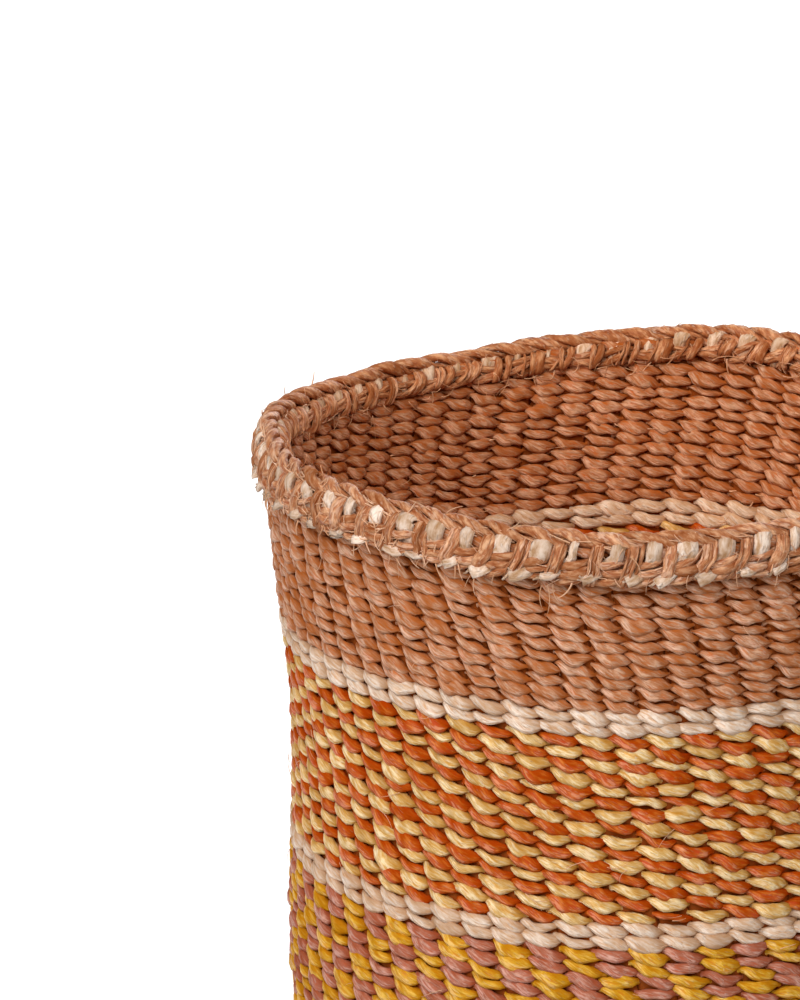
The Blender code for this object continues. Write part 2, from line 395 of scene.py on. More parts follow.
# The warps are coloured a dark red-brown and darkened further by their low tone: painted shade for the pits
# between the stitches, where alone they show.
warp_pit_shade = sisal("warp_pit_shade", (0.30, 0.070, 0.013), (0.37, 0.11, 0.025), (0.28, 0.058, 0.009), 10, 0.9)
WARP_START = -70.0
WARP_TOP = 197.0
WARP_POINTS = 66
WARP_HALF_DEEP = 0.5
WARP_SHADE = 0.6
WARP_APART = 0.15
warp_tubes = []
warp_way = np.linspace(WARP_START, WARP_TOP, WARP_POINTS)
warp_radius, warp_height, _, _ = along_wall(warp_way)
warp_half_wide = 0.53 * PITCH * np.clip(warp_radius, 20, None)
for i in range(WARPS):
    turn = FIRST_WARP + PITCH * i + lean(warp_height)
    centre, outward = on_skin(turn, warp_way)
    centre = centre + (WARP_APART if i % 2 else -WARP_APART) * outward
    rings = tube(centre, outward, warp_half_wide, WARP_HALF_DEEP, closed=False)
    warp_tubes.append((rings, warp_way - WARP_START, WARP_SHADE, 0.0))
upright_warps = join_tubes("upright_warps", warp_tubes, closed=False)
dress(upright_warps, warp_pit_shade, "warp_fibre")

# The wefts: two yarns of two-ply sisal to a row, twined round each other between one warp and the next.
# At each warp one yarn lies outside and the other inside, and they trade places at the next. The yarn has
# STEPS points to a stitch, a turn of its plies every PLY_TURN, and fibres that turn by a share of that.
STEPS = 8
PLY_TURN = 11.0
FIBRE_TURN = 0.6
HOLD = 0.8
SAG = 0.06
WEFT_SECTION = (
    (0.82, 0.68), (0.25, 1.0), (-0.42, 1.04), (-0.88, 0.74),
    (-0.88, -0.74), (-0.42, -1.04), (0.25, -1.0), (0.82, -0.68),
)
# Tones at the corners of the section: the first row is painted shade on the upper flank, where the row above
# shades it; the second, scaled at random along the yarn, is a painted highlight on the lower edge.
WEFT_SHADE_AND_EDGE_LIGHT = np.array((
    (0.74, 0.95, 1.0, 0.9, 0.9, 1.0, 0.95, 0.74),
    (0.0, 0.03, 0.20, 0.10, 0.10, 0.20, 0.03, 0.0),
))
WEFT_CORNERS = np.arctan2(*np.array(WEFT_SECTION).T[::-1])


def weft(
    way, row_height, warps, offset, first, reach=1.65, half_deep=1.05,
    slant=0.22, level=0.6, lobes=0.16, tips=0.26, most=0.62, point=0.7, shade=1.0,
):
    """One yarn of one row, all the way round: its skin, the length along it and its tones.

    It swings by reach to either side of the wall's middle. Slant is how far a stitch drops across its
    warp, in rows, and level how flat the middle of it runs. Tips and most are its half heights at the two
    ends and in the middle, in rows, a high point makes it taper sooner, and shade darkens the whole yarn.
    A low HOLD keeps every stitch at its warp for longer, and SAG is how far its middle hangs.
    """
    count = warps * STEPS
    column = np.arange(count) / STEPS
    beat = math.pi * (column - first)
    out = np.cos(beat)
    side = np.sin(beat)
    face = np.sign(out) * np.abs(out) ** HOLD
    at_warp = np.abs(out)
    radius, height, _, _ = along_wall(way)
    drift = 0.4 * smooth_chance(warps, STEPS, 1.0) / radius
    turn = offset + lean(height) + column * math.tau / warps + drift
    wander = 0.22 * np.sin(3 * turn + way / 19 + 1) + 0.16 * np.sin(7 * turn - way / 11)
    drop = slant * (1 + smooth_chance(warps, STEPS, 0.45))
    up = -row_height * (drop * side * np.abs(side) ** level + SAG * (at_warp - 0.5))
    up = up + wander + smooth_chance(2 * warps, STEPS // 2, 0.24)
    across = reach * face + smooth_chance(2 * warps, STEPS // 2, 0.15)
    centre, outward = on_skin(turn, np.full(count, way), across, up)
    size = 1 + smooth_chance(warps, STEPS, 0.15)
    tall = row_height * (tips + (most - tips) * at_warp ** point) * (1 + 0.12 * side * out) * size
    deep = half_deep * (1.15 - 0.15 * at_warp) * size
    step = np.linalg.norm(np.roll(centre, -1, 0) - centre, axis=1)
    along = np.concatenate([[0], np.cumsum(step)[:-1]])
    whole = along[-1] + step[-1]
    turns = round(whole / PLY_TURN)
    twist = math.tau * turns * along / whole + chance.uniform(0, math.tau)
    # The tone: random, and painted light and shade. Each stitch is darker towards its ends, where it dives
    # between its neighbours, darker at its right end and lighter at its left tip, as lit from the left, and a
    # little lighter on the inner face. Painted shade also lies in the valley between the plies.
    tone = 1 + smooth_chance(warps, STEPS, 0.08)
    shaded_ends = 0.62 + 0.38 * np.clip(at_warp * 1.8, 0, 1) - 0.16 * side * (1 - at_warp)
    lit_lead_tip = 0.14 * np.exp(-((side + 0.8) / 0.2) ** 2)
    tone = tone * shade * (shaded_ends + lit_lead_tip) * (1.03 - 0.03 * out)
    glint = np.clip(1 + smooth_chance(2 * warps, STEPS // 2, 0.7), 0, 2)[:, None]
    between_plies = 0.5 - 0.5 * np.cos(2 * (WEFT_CORNERS - twist[:, None]))
    tone = tone[:, None] * (WEFT_SHADE_AND_EDGE_LIGHT[0] + glint * WEFT_SHADE_AND_EDGE_LIGHT[1]) * (1.05 - 1.2 * lobes * between_plies ** 2)
    rings = tube(centre, outward, tall, deep, twist, lobes, len(WEFT_SECTION), section=WEFT_SECTION)
    return rings, along + chance.uniform(0, 400), tone, (FIBRE_TURN - 1) * twist / math.tau


def band(bottom, row_height, rows, offset=FIRST_WARP, block=1, **form):
    """Both yarns of every row of a band, from the top down. They change places every block of rows."""
    leading, following = [], []
    for row in range(rows):
        height = bottom + row_height * (rows - row - 0.5)
        way = height - FOOT_TURN + FOOT_ARC
        swap = (row // block) % 2
        leading.append(weft(way, row_height, WARPS, offset, swap, **form))
        following.append(weft(way, row_height, WARPS, offset, 1 - swap, **form))
    return leading, following


# The base: a flat disc of the tan yarn, twined in rings round the warps as they spread from the middle.
# Warps are added as the disc grows: BASE_WARPS says how many there are beyond each radius.
tan_base = sisal(
    "tan_base_yarn", (0.475, 0.193, 0.083), (0.66, 0.37, 0.22), (0.48, 0.12, 0.021), stray_light=0.4,
)
BASE_ROW = 2.85
BASE_FLAT = FOOT_RADIUS - FOOT_TURN
START_EDGE = 9.5
BASE_WARPS = ((58, 66), (38, 44), (24, 28), (15, 18), (0, 12))
BASE_OFFSET = 0.3
base_tubes = []
way = -BASE_ROW / 2
while BASE_FLAT + way > START_EDGE:
    for beyond, warps in BASE_WARPS:
        if BASE_FLAT + way > beyond:
            break
    for first in (0, 1):
        base_tubes.append(weft(way, BASE_ROW, warps, BASE_OFFSET, first, reach=1.2, half_deep=0.95))
    way -= BASE_ROW
half = len(base_tubes) // 2
base_outer = join_tubes("base_outer_rings", base_tubes[:half])
dress(base_outer, tan_base, "tan_base_yarn", "base_weave")
base_inner = join_tubes("base_inner_rings", base_tubes[half:])
dress(base_inner, tan_base, "tan_base_yarn", "base_weave")

# The start of the base, in its middle: the first warps lie crossed, one on the next, and a flat coil of the
# tan yarn lashes them from above and another from below.
CROSSED = 6
CROSSED_REACH = 15.0
CROSSED_HALF_WIDE = 2.6
CROSSED_POINTS = 9
CROSSED_LEVEL = 2.55
CROSSED_APART = 0.2
crossed_tubes = []
for k in range(CROSSED):
    turn = math.pi * k / CROSSED
    place = np.linspace(-CROSSED_REACH, CROSSED_REACH, CROSSED_POINTS)
    level = CROSSED_LEVEL + CROSSED_APART * (-1) ** k
    centre = np.stack([place * math.cos(turn), place * math.sin(turn), level + 0 * place], -1)
    downward = np.tile([0.0, 0.0, -1.0], (CROSSED_POINTS, 1))
    rings = tube(centre, downward, CROSSED_HALF_WIDE, WARP_HALF_DEEP, closed=False)
    crossed_tubes.append((rings, place + CROSSED_REACH, WARP_SHADE, 0.0))
crossed_warps = join_tubes("crossed_warps", crossed_tubes, closed=False)
# The crossed warps take the same dark brown: painted shade.
dress(crossed_warps, warp_pit_shade, "warp_fibre")

COIL_TURNS = 3
COIL_POINTS = 120
COIL_START = 1.3
COIL_REACH = 7.0
COIL_LEVELS = (1.35, 3.75)
share = np.arange(COIL_POINTS) / (COIL_POINTS - 1)
coil_tubes = []
for level in COIL_LEVELS:
    spiral = math.tau * COIL_TURNS * share
    radius = COIL_START + COIL_REACH * share
    centre = np.stack([radius * np.sin(spiral), -radius * np.cos(spiral), level + 0 * share], -1)
    outward = np.tile([0.0, 0.0, -1.0], (COIL_POINTS, 1))
    along = np.cumsum(np.append(0, np.linalg.norm(np.diff(centre, axis=0), axis=1)))
    ends = np.clip(np.minimum(share, 1 - share) * 30, 0.3, 1)
    twist = math.tau * along / PLY_TURN
    rings = tube(centre, outward, 1.35 * ends, 1.15 * ends, twist, 0.14, closed=False)
    coil_tubes.append((rings, along, 1.0, FIBRE_TURN * twist / math.tau))
base_coil = join_tubes("base_start_coil", coil_tubes, closed=False)
dress(base_coil, tan_base, "tan_base_yarn", "base_start")

# The lowest band, tan: its rows turn the foot and close round the warps as they rise. The tan yarn is thinner
# than the others and pulled tight, so its stitches are pointed.
tan_yarn = sisal(
    "tan_yarn", (0.455, 0.191, 0.088), (0.63, 0.357, 0.22), (0.49, 0.123, 0.022), stray_light=0.45,
)
TAN_FORM = {
    "slant": 0.31,
    "level": 2.0,
    "lobes": 0.26,
    "tips": 0.18,
    "most": 0.68,
    "half_deep": 0.95,
    "point": 0.85,
}
LOWER_TAN_ROWS = 10
LOWER_TAN_TOP = 28.0
lower_tan_row = (LOWER_TAN_TOP - FOOT_TURN + FOOT_ARC) / LOWER_TAN_ROWS
lower_tubes = ([], [])
for row in range(LOWER_TAN_ROWS):
    way = lower_tan_row * (row + 0.5)
    for first in (0, 1):
        lower_tubes[first].append(weft(way, lower_tan_row, WARPS, FIRST_WARP, first, **TAN_FORM))
for tubes, letter in zip(lower_tubes, "ab"):
    lower_tan = join_tubes("lower_tan_yarn_" + letter, tubes)
    dress(lower_tan, tan_yarn, "tan_yarn", "lower_tan_band")

# Three narrow stripes of undyed cream yarn, two rows each, divide the bands. They are twined like the rest,
# in a fuller yarn, and the middle one is a little darker.
cream_yarn = sisal("cream_yarn", (0.69, 0.49, 0.345), (0.82, 0.67, 0.555), (0.60, 0.32, 0.16))
CREAM_ROW = 3.3
CREAM_ROWS = 2
CREAM_STRIPES = (("lower", 28.0, 1.0), ("middle", 88.1, 0.88), ("upper", 145.1, 1.0))
for place, bottom, shade in CREAM_STRIPES:
    leading, following = band(bottom, CREAM_ROW, CREAM_ROWS, slant=0.24, tips=0.3, most=0.66, shade=shade)
    stripe = join_tubes(place + "_cream_rows", leading + following)
    dress(stripe, cream_yarn, "cream_yarn", place + "_cream_stripe")

# The mustard and mauve band: one yarn of each colour in every row, which change places every two rows, so
# that the wall shows checks one warp wide.
mustard_yarn = sisal("mustard_yarn", (0.61, 0.295, 0.009), (0.77, 0.465, 0.08), (0.56, 0.19, 0.005))
mauve_yarn = sisal("mauve_yarn", (0.395, 0.129, 0.072), (0.58, 0.28, 0.197), (0.42, 0.09, 0.034))
MUSTARD_BOTTOM = 34.6
MUSTARD_ROW = 3.344
MUSTARD_ROWS = 16
mustard, mauve = band(
    MUSTARD_BOTTOM, MUSTARD_ROW, MUSTARD_ROWS, FIRST_WARP + PITCH,
    block=2, slant=0.26, level=0.3, lobes=0.2, tips=0.28,
)
for name, tubes, finish in (("mustard_weft", mustard, mustard_yarn), ("mauve_weft", mauve, mauve_yarn)):
    dress(join_tubes(name, tubes), finish, "mustard_mauve_yarn", "mustard_mauve_band")

# The orange and straw band: one yarn of each colour, which change places every row, so that the colours
# climb in slanting lines.
orange_yarn = sisal("orange_yarn", (0.455, 0.074, 0.003), (0.62, 0.175, 0.024), (0.45, 0.048, 0.002))
straw_yarn = sisal("straw_yarn", (0.69, 0.42, 0.142), (0.84, 0.645, 0.375), (0.58, 0.255, 0.038))
ORANGE_BOTTOM = 94.7
ORANGE_ROW = 3.36
ORANGE_ROWS = 15
orange, straw = band(ORANGE_BOTTOM, ORANGE_ROW, ORANGE_ROWS, slant=0.27, level=0.2, lobes=0.22, tips=0.28)
for name, tubes, finish in (("orange_weft", orange, orange_yarn), ("straw_weft", straw, straw_yarn)):
    dress(join_tubes(name, tubes), finish, "orange_straw_yarn", "orange_straw_band")

# The upper tan band: pointed stitches that leave small dark pits between the columns, so that the warps
# read as upright ribs. Its last rows run on up behind the rim.
UPPER_TAN_BOTTOM = 151.7
UPPER_TAN_ROW = 3.17
UPPER_TAN_ROWS = 14
upper_tubes = band(UPPER_TAN_BOTTOM, UPPER_TAN_ROW, UPPER_TAN_ROWS, **TAN_FORM)
for tubes, letter in zip(upper_tubes, "ab"):
    dress(join_tubes("upper_tan_yarn_" + letter, tubes), tan_yarn, "tan_yarn", "upper_tan_band")

# The warp ends: at the edge each cream warp comes up inside, passes between the strands of the edge cord,
# folds over to the outside, slants down to the left behind the binding, and is cut off below it.
# Paths at the edge are of (pitches to the right of the warp, out from the neck, height).
NECK = STATIONS[-1][1]
FIRST_PEG = math.radians(-0.55)
PEG_DRIFT = math.radians(1.1)


def peg_turn(place):
    """The angle at which a warp end stands. The spacing drifts a little, as the hands left it."""
    turn = FIRST_PEG + PITCH * place
    return turn - PEG_DRIFT * np.sin(turn + 0.21)


def eased_path(stations, count):
    """Points spread evenly along a smooth curve through the stations."""
    stations = np.asarray(stations, float)
    padded = np.concatenate([[2 * stations[0] - stations[1]], stations, [2 * stations[-1] - stations[-2]]])
    place = np.linspace(0, len(stations) - 1 - 1e-9, count)
    k = np.floor(place).astype(int)
    t = (place - k)[:, None]
    a, b, c, d = padded[k], padded[k + 1], padded[k + 2], padded[k + 3]
    bend = 2 * a - 5 * b + 4 * c - d
    return 0.5 * (2 * b + (c - a) * t + bend * t ** 2 + (3 * b - a - 3 * c + d) * t ** 3)


def strip(i, stations, wide, thick, count, tone, sides, lobes, combed, twist_turns=0.0, level=False):
    """A short length of fibre at warp i, through stations of (pitches aside, out from the neck, height).

    A level one runs round the edge and faces out, any other runs over the edge and faces off its own path.
    """
    path = eased_path(stations, count)
    turn = peg_turn(i) + path[:, 0] * PITCH
    radius = NECK + path[:, 1]
    centre = np.stack([radius * np.sin(turn), -radius * np.cos(turn), path[:, 2]], -1)
    if level:
        out_part, up_part = np.ones(count), np.zeros(count)
    else:
        rise_out = np.gradient(path[:, 1])
        rise_up = np.gradient(path[:, 2])
        size = np.hypot(rise_out, rise_up) + 1e-9
        out_part, up_part = -rise_up / size, rise_out / size
    outward = np.stack([out_part * np.sin(turn), -out_part * np.cos(turn), up_part], -1)
    along = np.cumsum(np.append(0, np.linalg.norm(np.diff(centre, axis=0), axis=1)))
    twist = math.tau * twist_turns * np.linspace(0, 1, count) + chance.uniform(0, 0.5)
    rings = tube(centre, outward, wide, thick, twist, lobes, sides, False, combed)
    spin = FIBRE_TURN * twist / math.tau
    return rings, along + chance.uniform(0, 300), tone * (1 + chance.normal(0, 0.07)), spin


def ends_in(count, low=0.35, share=0.16):
    """A width that narrows towards both ends of a strip."""
    place = np.linspace(0, 1, count)
    return low + (1 - low) * np.clip(np.minimum(place, 1 - place) / share, 0, 1) ** 0.5


PEG_PATH = (
    (0.36, -3.2, 190.0),
    (0.34, -3.6, 192.2),
    (0.31, -3.8, 193.9),
    (0.26, -3.2, 195.2),
    (0.18, -1.9, 196.2),
    (0.10, -0.3, 196.8),
    (0.04, 1.1, 196.6),
    (0.00, 2.0, 195.0),
    (-0.03, 1.9, 193.3),
    (-0.10, 1.3, 191.4),
    (-0.20, 1.0, 190.2),
    (-0.32, 1.6, 189.2),
    (-0.49, 2.4, 188.4),
    (-0.72, 2.8, 187.9),
)
PEG_WIDTHS = (1.0, 1.2, 1.25, 1.4, 1.6, 1.7, 1.8, 1.9, 1.85, 1.7, 1.7, 1.7, 1.75, 1.6)
PEG_DEPTHS = ((0, 0.65, 0.9, 1), (0.95, 0.95, 0.9025, 0.76))
# Tone along a warp end: painted shade, darker where it starts inside under the binding and a little darker at
# its cut end.
PEG_SHADE_TONES = ((0, 0.35, 0.6, 0.85, 1), (0.88, 0.92, 0.98, 1.02, 0.98))
PEG_POINTS = 28
LIFTED_MIDDLE = 2.75
LIFTED_REACH = 0.28
LIFTED_STATIONS = ((0.26, -3.7, 196.0), (0.18, -2.7, 197.1))
FRAYED = 3
peg_share = np.linspace(0, 1, PEG_POINTS)
peg_half_wide = np.interp(peg_share, np.linspace(0, 1, len(PEG_WIDTHS)), PEG_WIDTHS)
peg_thick = np.interp(peg_share, *PEG_DEPTHS)
peg_tubes = []
for i in range(WARPS):
    wide = peg_half_wide * np.clip(math.exp(chance.normal(0, 0.26)), 0.65, 1.4)
    path = np.array(PEG_PATH)
    if abs((peg_turn(i) - LIFTED_MIDDLE + math.pi) % math.tau - math.pi) < LIFTED_REACH:
        path[3:5] = LIFTED_STATIONS
    path[:, 0] += chance.normal(0, 0.04)
    path[6:9, 0] += chance.normal(0, 0.05)
    path[9:, 0] += chance.normal(0, 0.07)
    path[6:9, 1] += chance.normal(0, 0.2)
    path[11:, 2] += chance.normal(0, 0.3)
    path[-1, 2] += chance.normal(0, 0.35)
    path[-2:, 1] += chance.normal(0, 0.25)
    at_left = math.exp(-((peg_turn(i) + math.pi / 2) / 0.4) ** 2)
    path[-3:] += np.outer((0.8, 1.8, 2.6), (0, -at_left, 0.4 * at_left))
    tone = (1.0 + chance.normal(0, 0.1)) * np.interp(peg_share, *PEG_SHADE_TONES)
    peg_tubes.append(strip(i, path, wide, peg_thick, PEG_POINTS, tone, 12, 0.0, 0.12))
    for _ in range(FRAYED):
        apart = chance.uniform(-0.2, 0.2)
        fibre = (
            path[-3] + (apart, 0.1, 0.0),
            path[-2] + (1.1 * apart, 0.3, chance.normal(0, 0.2)),
            path[-1] + (0.5 * apart, 0.2 + chance.normal(0, 0.2), 4 * apart),
            path[-1] + (0.5 * apart - 0.1, 0.3 + chance.normal(0, 0.3), 6 * apart + chance.normal(0, 0.3)),
        )
        fine = chance.uniform(0.2, 0.4) * np.linspace(1, 0.5, 8)
        peg_tubes.append(strip(i, fibre, 1.6 * fine, fine, 8, 0.9 + chance.normal(0, 0.1), 6, 0.0, 0.1))
peg_cream = sisal("peg_cream", (0.65, 0.455, 0.325), (0.81, 0.65, 0.53), (0.42, 0.23, 0.11), 7, 0.6, fuzz=2.0)
warp_ends = join_tubes("folded_warp_fibres", peg_tubes, closed=False)
dress(warp_ends, peg_cream, "warp_fibre", "folded_warp_ends")

# The binding: tan fibre laid a few times round each warp end, with a fat upright loop of it between
# one end and the next. The same yarn shows inside, where it is drawn tighter. Wraps are given by
# (height, out from the neck, half height), and the strips of a loop by (pitches aside, half width, bulge).
rim_tan = sisal(
    "rim_tan_fibre", (0.43, 0.165, 0.066), (0.68, 0.37, 0.20), (0.27, 0.068, 0.017), 6, 0.45, fuzz=1.8,
)
OUTER_WRAPS = ((191.7, 2.2, 1.15), (189.7, 2.4, 1.2), (187.9, 1.9, 1.05))
INNER_WRAPS = ((193.7, -4.6, 0.95), (192.0, -4.9, 1.1))
OUTER_STRIPS = ((-0.03, 1.4, 0.1), (0.12, 0.65, 0.0), (-0.15, 0.5, 0.15), (0.04, 0.35, 0.5))
INNER_STRIPS = ((-0.06, 1.3), (0.12, 0.95), (0.26, 0.4))
OUTER_POINTS = 16
INNER_POINTS = 12
FIBRE_SIDES = 10
outer_tubes, inner_tubes = [], []
for i in range(WARPS):
    low = chance.normal(0, 0.6)
    lean_more = chance.normal(0, 0.09)
    for side_step, wide, stand in OUTER_STRIPS:
        shift = side_step + 0.03 + chance.normal(0, 0.04)
        bulge = stand + chance.normal(0, 0.2)
        loop = (
            (0.64 + shift, -0.6, 196.6),
            (0.61 + shift, 1.0, 195.9),
            (0.57 + shift, 1.9 + bulge, 194.4),
            (0.51 + shift, 2.4 + bulge, 192.4),
            (0.42 + shift - lean_more, 2.4 + bulge, 190.4 + low),
            (0.34 + shift - lean_more, 2.1, 188.6 + low),
            (0.28 + shift - lean_more, 1.2, 187.2 + low),
            (0.24 + shift - lean_more, 0.0, 186.2 + low),
        )
        wide = wide * math.exp(chance.normal(0, 0.2)) * ends_in(OUTER_POINTS)
        deep = 0.85 * ends_in(OUTER_POINTS)
        tone = 1.0 + chance.normal(0, 0.1)
        outer_tubes.append(strip(i, loop, wide, deep, OUTER_POINTS, tone, FIBRE_SIDES, 0.05, 0.08, 0.3))
    for level, reach, half_high in OUTER_WRAPS:
        tilt = 0.85 + chance.normal(0, 0.6)
        level += chance.normal(0, 0.25)
        swell = chance.normal(0, 0.25)
        slide = chance.normal(0, 0.06)
        wrap = (
            (-0.62 + slide, 0.4, level - tilt),
            (-0.46 + slide, 1.3, level - 0.8 * tilt),
            (-0.26 + slide, reach - 0.2, level - 0.4 * tilt),
            (-0.04 + slide, reach + 0.4 + swell, level),
            (0.18 + slide, reach - 0.1, level + 0.5 * tilt),
            (0.34 + slide, 1.2, level + tilt),
            (0.48 + slide, 0.2, level + tilt),
        )
        size = math.exp(chance.normal(0, 0.15)) * ends_in(OUTER_POINTS, 0.25, 0.45)
        wide = 1.05 * half_high * size
        deep = 0.9 * size
        tone = 1.0 + chance.normal(0, 0.11)
        outer_tubes.append(
            strip(i, wrap, wide, deep, OUTER_POINTS, tone, FIBRE_SIDES, 0.06, 0.08, 0.4, level=True)
        )
    low = chance.normal(0, 0.7)
    for side_step, wide in INNER_STRIPS:
        shift = side_step + chance.normal(0, 0.06)
        aslant = chance.normal(0.1, 0.12)
        loop = (
            (0.68 + shift, -2.6, 196.2),
            (0.70 + shift, -4.1, 195.3),
            (0.75 + shift, -5.1, 194.0 + 0.3 * low),
            (0.79 + shift + 0.4 * aslant, -5.5, 192.6 + 0.6 * low),
            (0.82 + shift + 0.8 * aslant, -5.1, 191.2 + low),
            (0.84 + shift + aslant, -3.9, 190.2 + low),
        )
        wide = wide * math.exp(chance.normal(0, 0.2)) * ends_in(INNER_POINTS)
        deep = 0.8 * ends_in(INNER_POINTS)
        tone = 1.0 + chance.normal(0, 0.1)
        inner_tubes.append(strip(i, loop, wide, deep, INNER_POINTS, tone, FIBRE_SIDES, 0.05, 0.08, 0.3))
    for level, reach, half_high in INNER_WRAPS:
        tilt = 0.5 + chance.normal(0, 0.8)
        level += chance.normal(0, 0.35)
        wrap = (
            (-0.22, -3.9, level + tilt),
            (0.02, reach + 0.3, level + 0.6 * tilt),
            (0.30, reach, level),
            (0.58, reach + 0.3, level - 0.6 * tilt),
            (0.84, -3.9, level - tilt),
        )
        size = math.exp(chance.normal(0, 0.12)) * ends_in(INNER_POINTS, 0.25, 0.3)
        wide = half_high * size
        deep = 0.75 * size
        inner_tubes.append(
            strip(i, wrap, wide, deep, INNER_POINTS, 1.0, FIBRE_SIDES, 0.06, 0.06, 0.4, level=True)
        )
for face, tubes in (("outer", outer_tubes), ("inner", inner_tubes)):
    binding = join_tubes(face + "_rim_binding", tubes, closed=False)
    dress(binding, rim_tan, "rim_tan_fibre", "rim_binding")

# The edge cord: two strands of combed tan fibre, twisted round each other over the warp ends,
# so that each strand shows once between every two ends.
CORD_RADIUS = NECK - 0.9
CORD_HEIGHT = 197.3
CORD_STEPS = 10
ORBIT_OUT = 1.25
ORBIT_UP = 1.15
STRAND_HALF_WIDE = 1.6
STRAND_HALF_DEEP = 1.25
place = np.arange(WARPS * CORD_STEPS) / CORD_STEPS
for letter, phase in (("a", 0.0), ("b", math.pi)):
    turn = peg_turn(place)
    spin = phase - math.pi * (place - 0.25)
    orbit_out = ORBIT_OUT + smooth_chance(WARPS, CORD_STEPS, 0.2)
    orbit_up = ORBIT_UP + smooth_chance(WARPS, CORD_STEPS, 0.2)
    radius = CORD_RADIUS + orbit_out * np.cos(spin) + smooth_chance(WARPS // 2, 2 * CORD_STEPS, 0.15)
    height = CORD_HEIGHT + orbit_up * np.sin(spin)
    centre = np.stack([radius * np.sin(turn), -radius * np.cos(turn), height], -1)
    outward = np.stack([np.cos(spin) * np.sin(turn), -np.cos(spin) * np.cos(turn), np.sin(spin)], -1)
    step = np.linalg.norm(np.roll(centre, -1, 0) - centre, axis=1)
    along = np.concatenate([[0], np.cumsum(step)[:-1]])
    size = 1 + smooth_chance(2 * WARPS, CORD_STEPS // 2, 0.12)
    rings = tube(centre, outward, STRAND_HALF_WIDE * size, STRAND_HALF_DEEP * size, sides=14, combed=0.09)
    tone = 1 + smooth_chance(WARPS, CORD_STEPS, 0.07)
    strand = join_tubes("edge_strand_" + letter, [(rings, along, tone, 0.0)])
    dress(strand, rim_tan, "rim_tan_fibre", "rim_cord_strand_" + letter)

# Stray fibres: fine ends of sisal that work loose from the yarn. They are thick about the edge, where the
# fibre is laid unspun, and few on the wall.
STRAY_POINTS = 9
stray_tubes = []


def stray(turn_degrees, out_from_neck, height, length, heading, lift, curl, thick=0.13):
    """One fine fibre from a point on the wall. Heading 0 is right, 90 is up, and lift stands it off."""
    turn = math.radians(turn_degrees)
    sideways = np.array([math.cos(turn), math.sin(turn), 0.0])
    outward = np.array([math.sin(turn), -math.cos(turn), 0.0])
    place = np.linspace(0, 1, STRAY_POINTS)
    start = outward * (NECK + out_from_neck) + np.array([0, 0, height])
    angle = math.radians(heading) + curl * place
    step = length / (STRAY_POINTS - 1)
    flat = np.cumsum(np.stack([np.cos(angle), np.sin(angle)], -1) * step, 0) - step
    away = lift * np.sin(math.pi * np.clip(place * 0.9, 0, 1)) + 0.15 * lift * place
    centre = start + flat[:, :1] * sideways + flat[:, 1:] * np.array([0, 0, 1.0]) + away[:, None] * outward
    facing = np.tile(outward, (STRAY_POINTS, 1))
    thin = thick * (1 - 0.6 * place)
    rings = tube(centre, facing, thin, thin, sides=4, closed=False)
    stray_tubes.append((rings, place * length, 1.1 + chance.normal(0, 0.1), 0.0))


def some(
    count, out, low, high, shortest, longest, heading, spread, lift,
    curl=1.2, thick=0.13, middle=0, reach=180,
):
    """A number of stray fibres at random between two heights, within a reach of degrees about a middle."""
    for _ in range(count):
        stray(
            middle + chance.uniform(-reach, reach),
            out + chance.normal(0, 0.2),
            chance.uniform(low, high),
            chance.uniform(shortest, longest),
            heading + chance.choice([0, 180]) + chance.normal(0, spread),
            lift * chance.uniform(0.3, 1.6),
            chance.normal(0, curl),
            thick * chance.uniform(0.7, 1.2),
        )


# On the binding, the edge cord and the inside of the rim, all the way round.
some(110, 2.9, 186.5, 194.5, 2, 5, 20, 40, 0.3)
some(40, 2.9, 187.0, 192.5, 2, 6, 80, 30, 0.4)
some(40, 1.4, 198.0, 199.0, 2, 5, -12, 8, 0.15, 0.3)
some(150, 1.0, 195.8, 197.8, 3, 6, -14, 10, 0.3, 0.4, 0.24)
some(160, 2.6, 187.5, 192.5, 3, 6, 75, 30, 0.35, 0.8, 0.24)
some(120, -4.6, 189.5, 193.0, 3, 6, 80, 35, -0.4, 0.8, 0.22)
some(180, -5.7, 189.0, 193.5, 2.5, 7, 10, 40, -0.5)
# The rim is shaggier at the far left.
some(90, 1.0, 196.2, 198.0, 3, 6, 0, 18, 0.3, 0.6, 0.28, -80, 42)
some(110, 2.7, 187.5, 193.0, 3, 6, 60, 50, 0.4, 1.0, 0.26, -72, 40)
some(60, -3.4, 195.0, 197.0, 3, 6, 10, 18, -0.3, 0.6, 0.26, -85, 45)
# On the wall, outside and inside. The last are short, thick flecks on the inside face: painted
# highlights that stand for glints on its stitches.
for spot in np.arange(14, 184, 10):
    wall_out = float(wall_middle(spot)) - NECK
    some(14, wall_out + 2.75, spot - 5, spot + 5, 2.5, 7, 0, 22, 0.3, 0.8, 0.1)
    some(8, wall_out - 2.75, spot - 5, spot + 5, 2.5, 7, 0, 22, -0.3, 0.8, 0.1)
    some(14, wall_out - 2.7, spot - 5, spot + 5, 1.0, 2.2, 0, 14, -0.15, 0.3, 0.26)
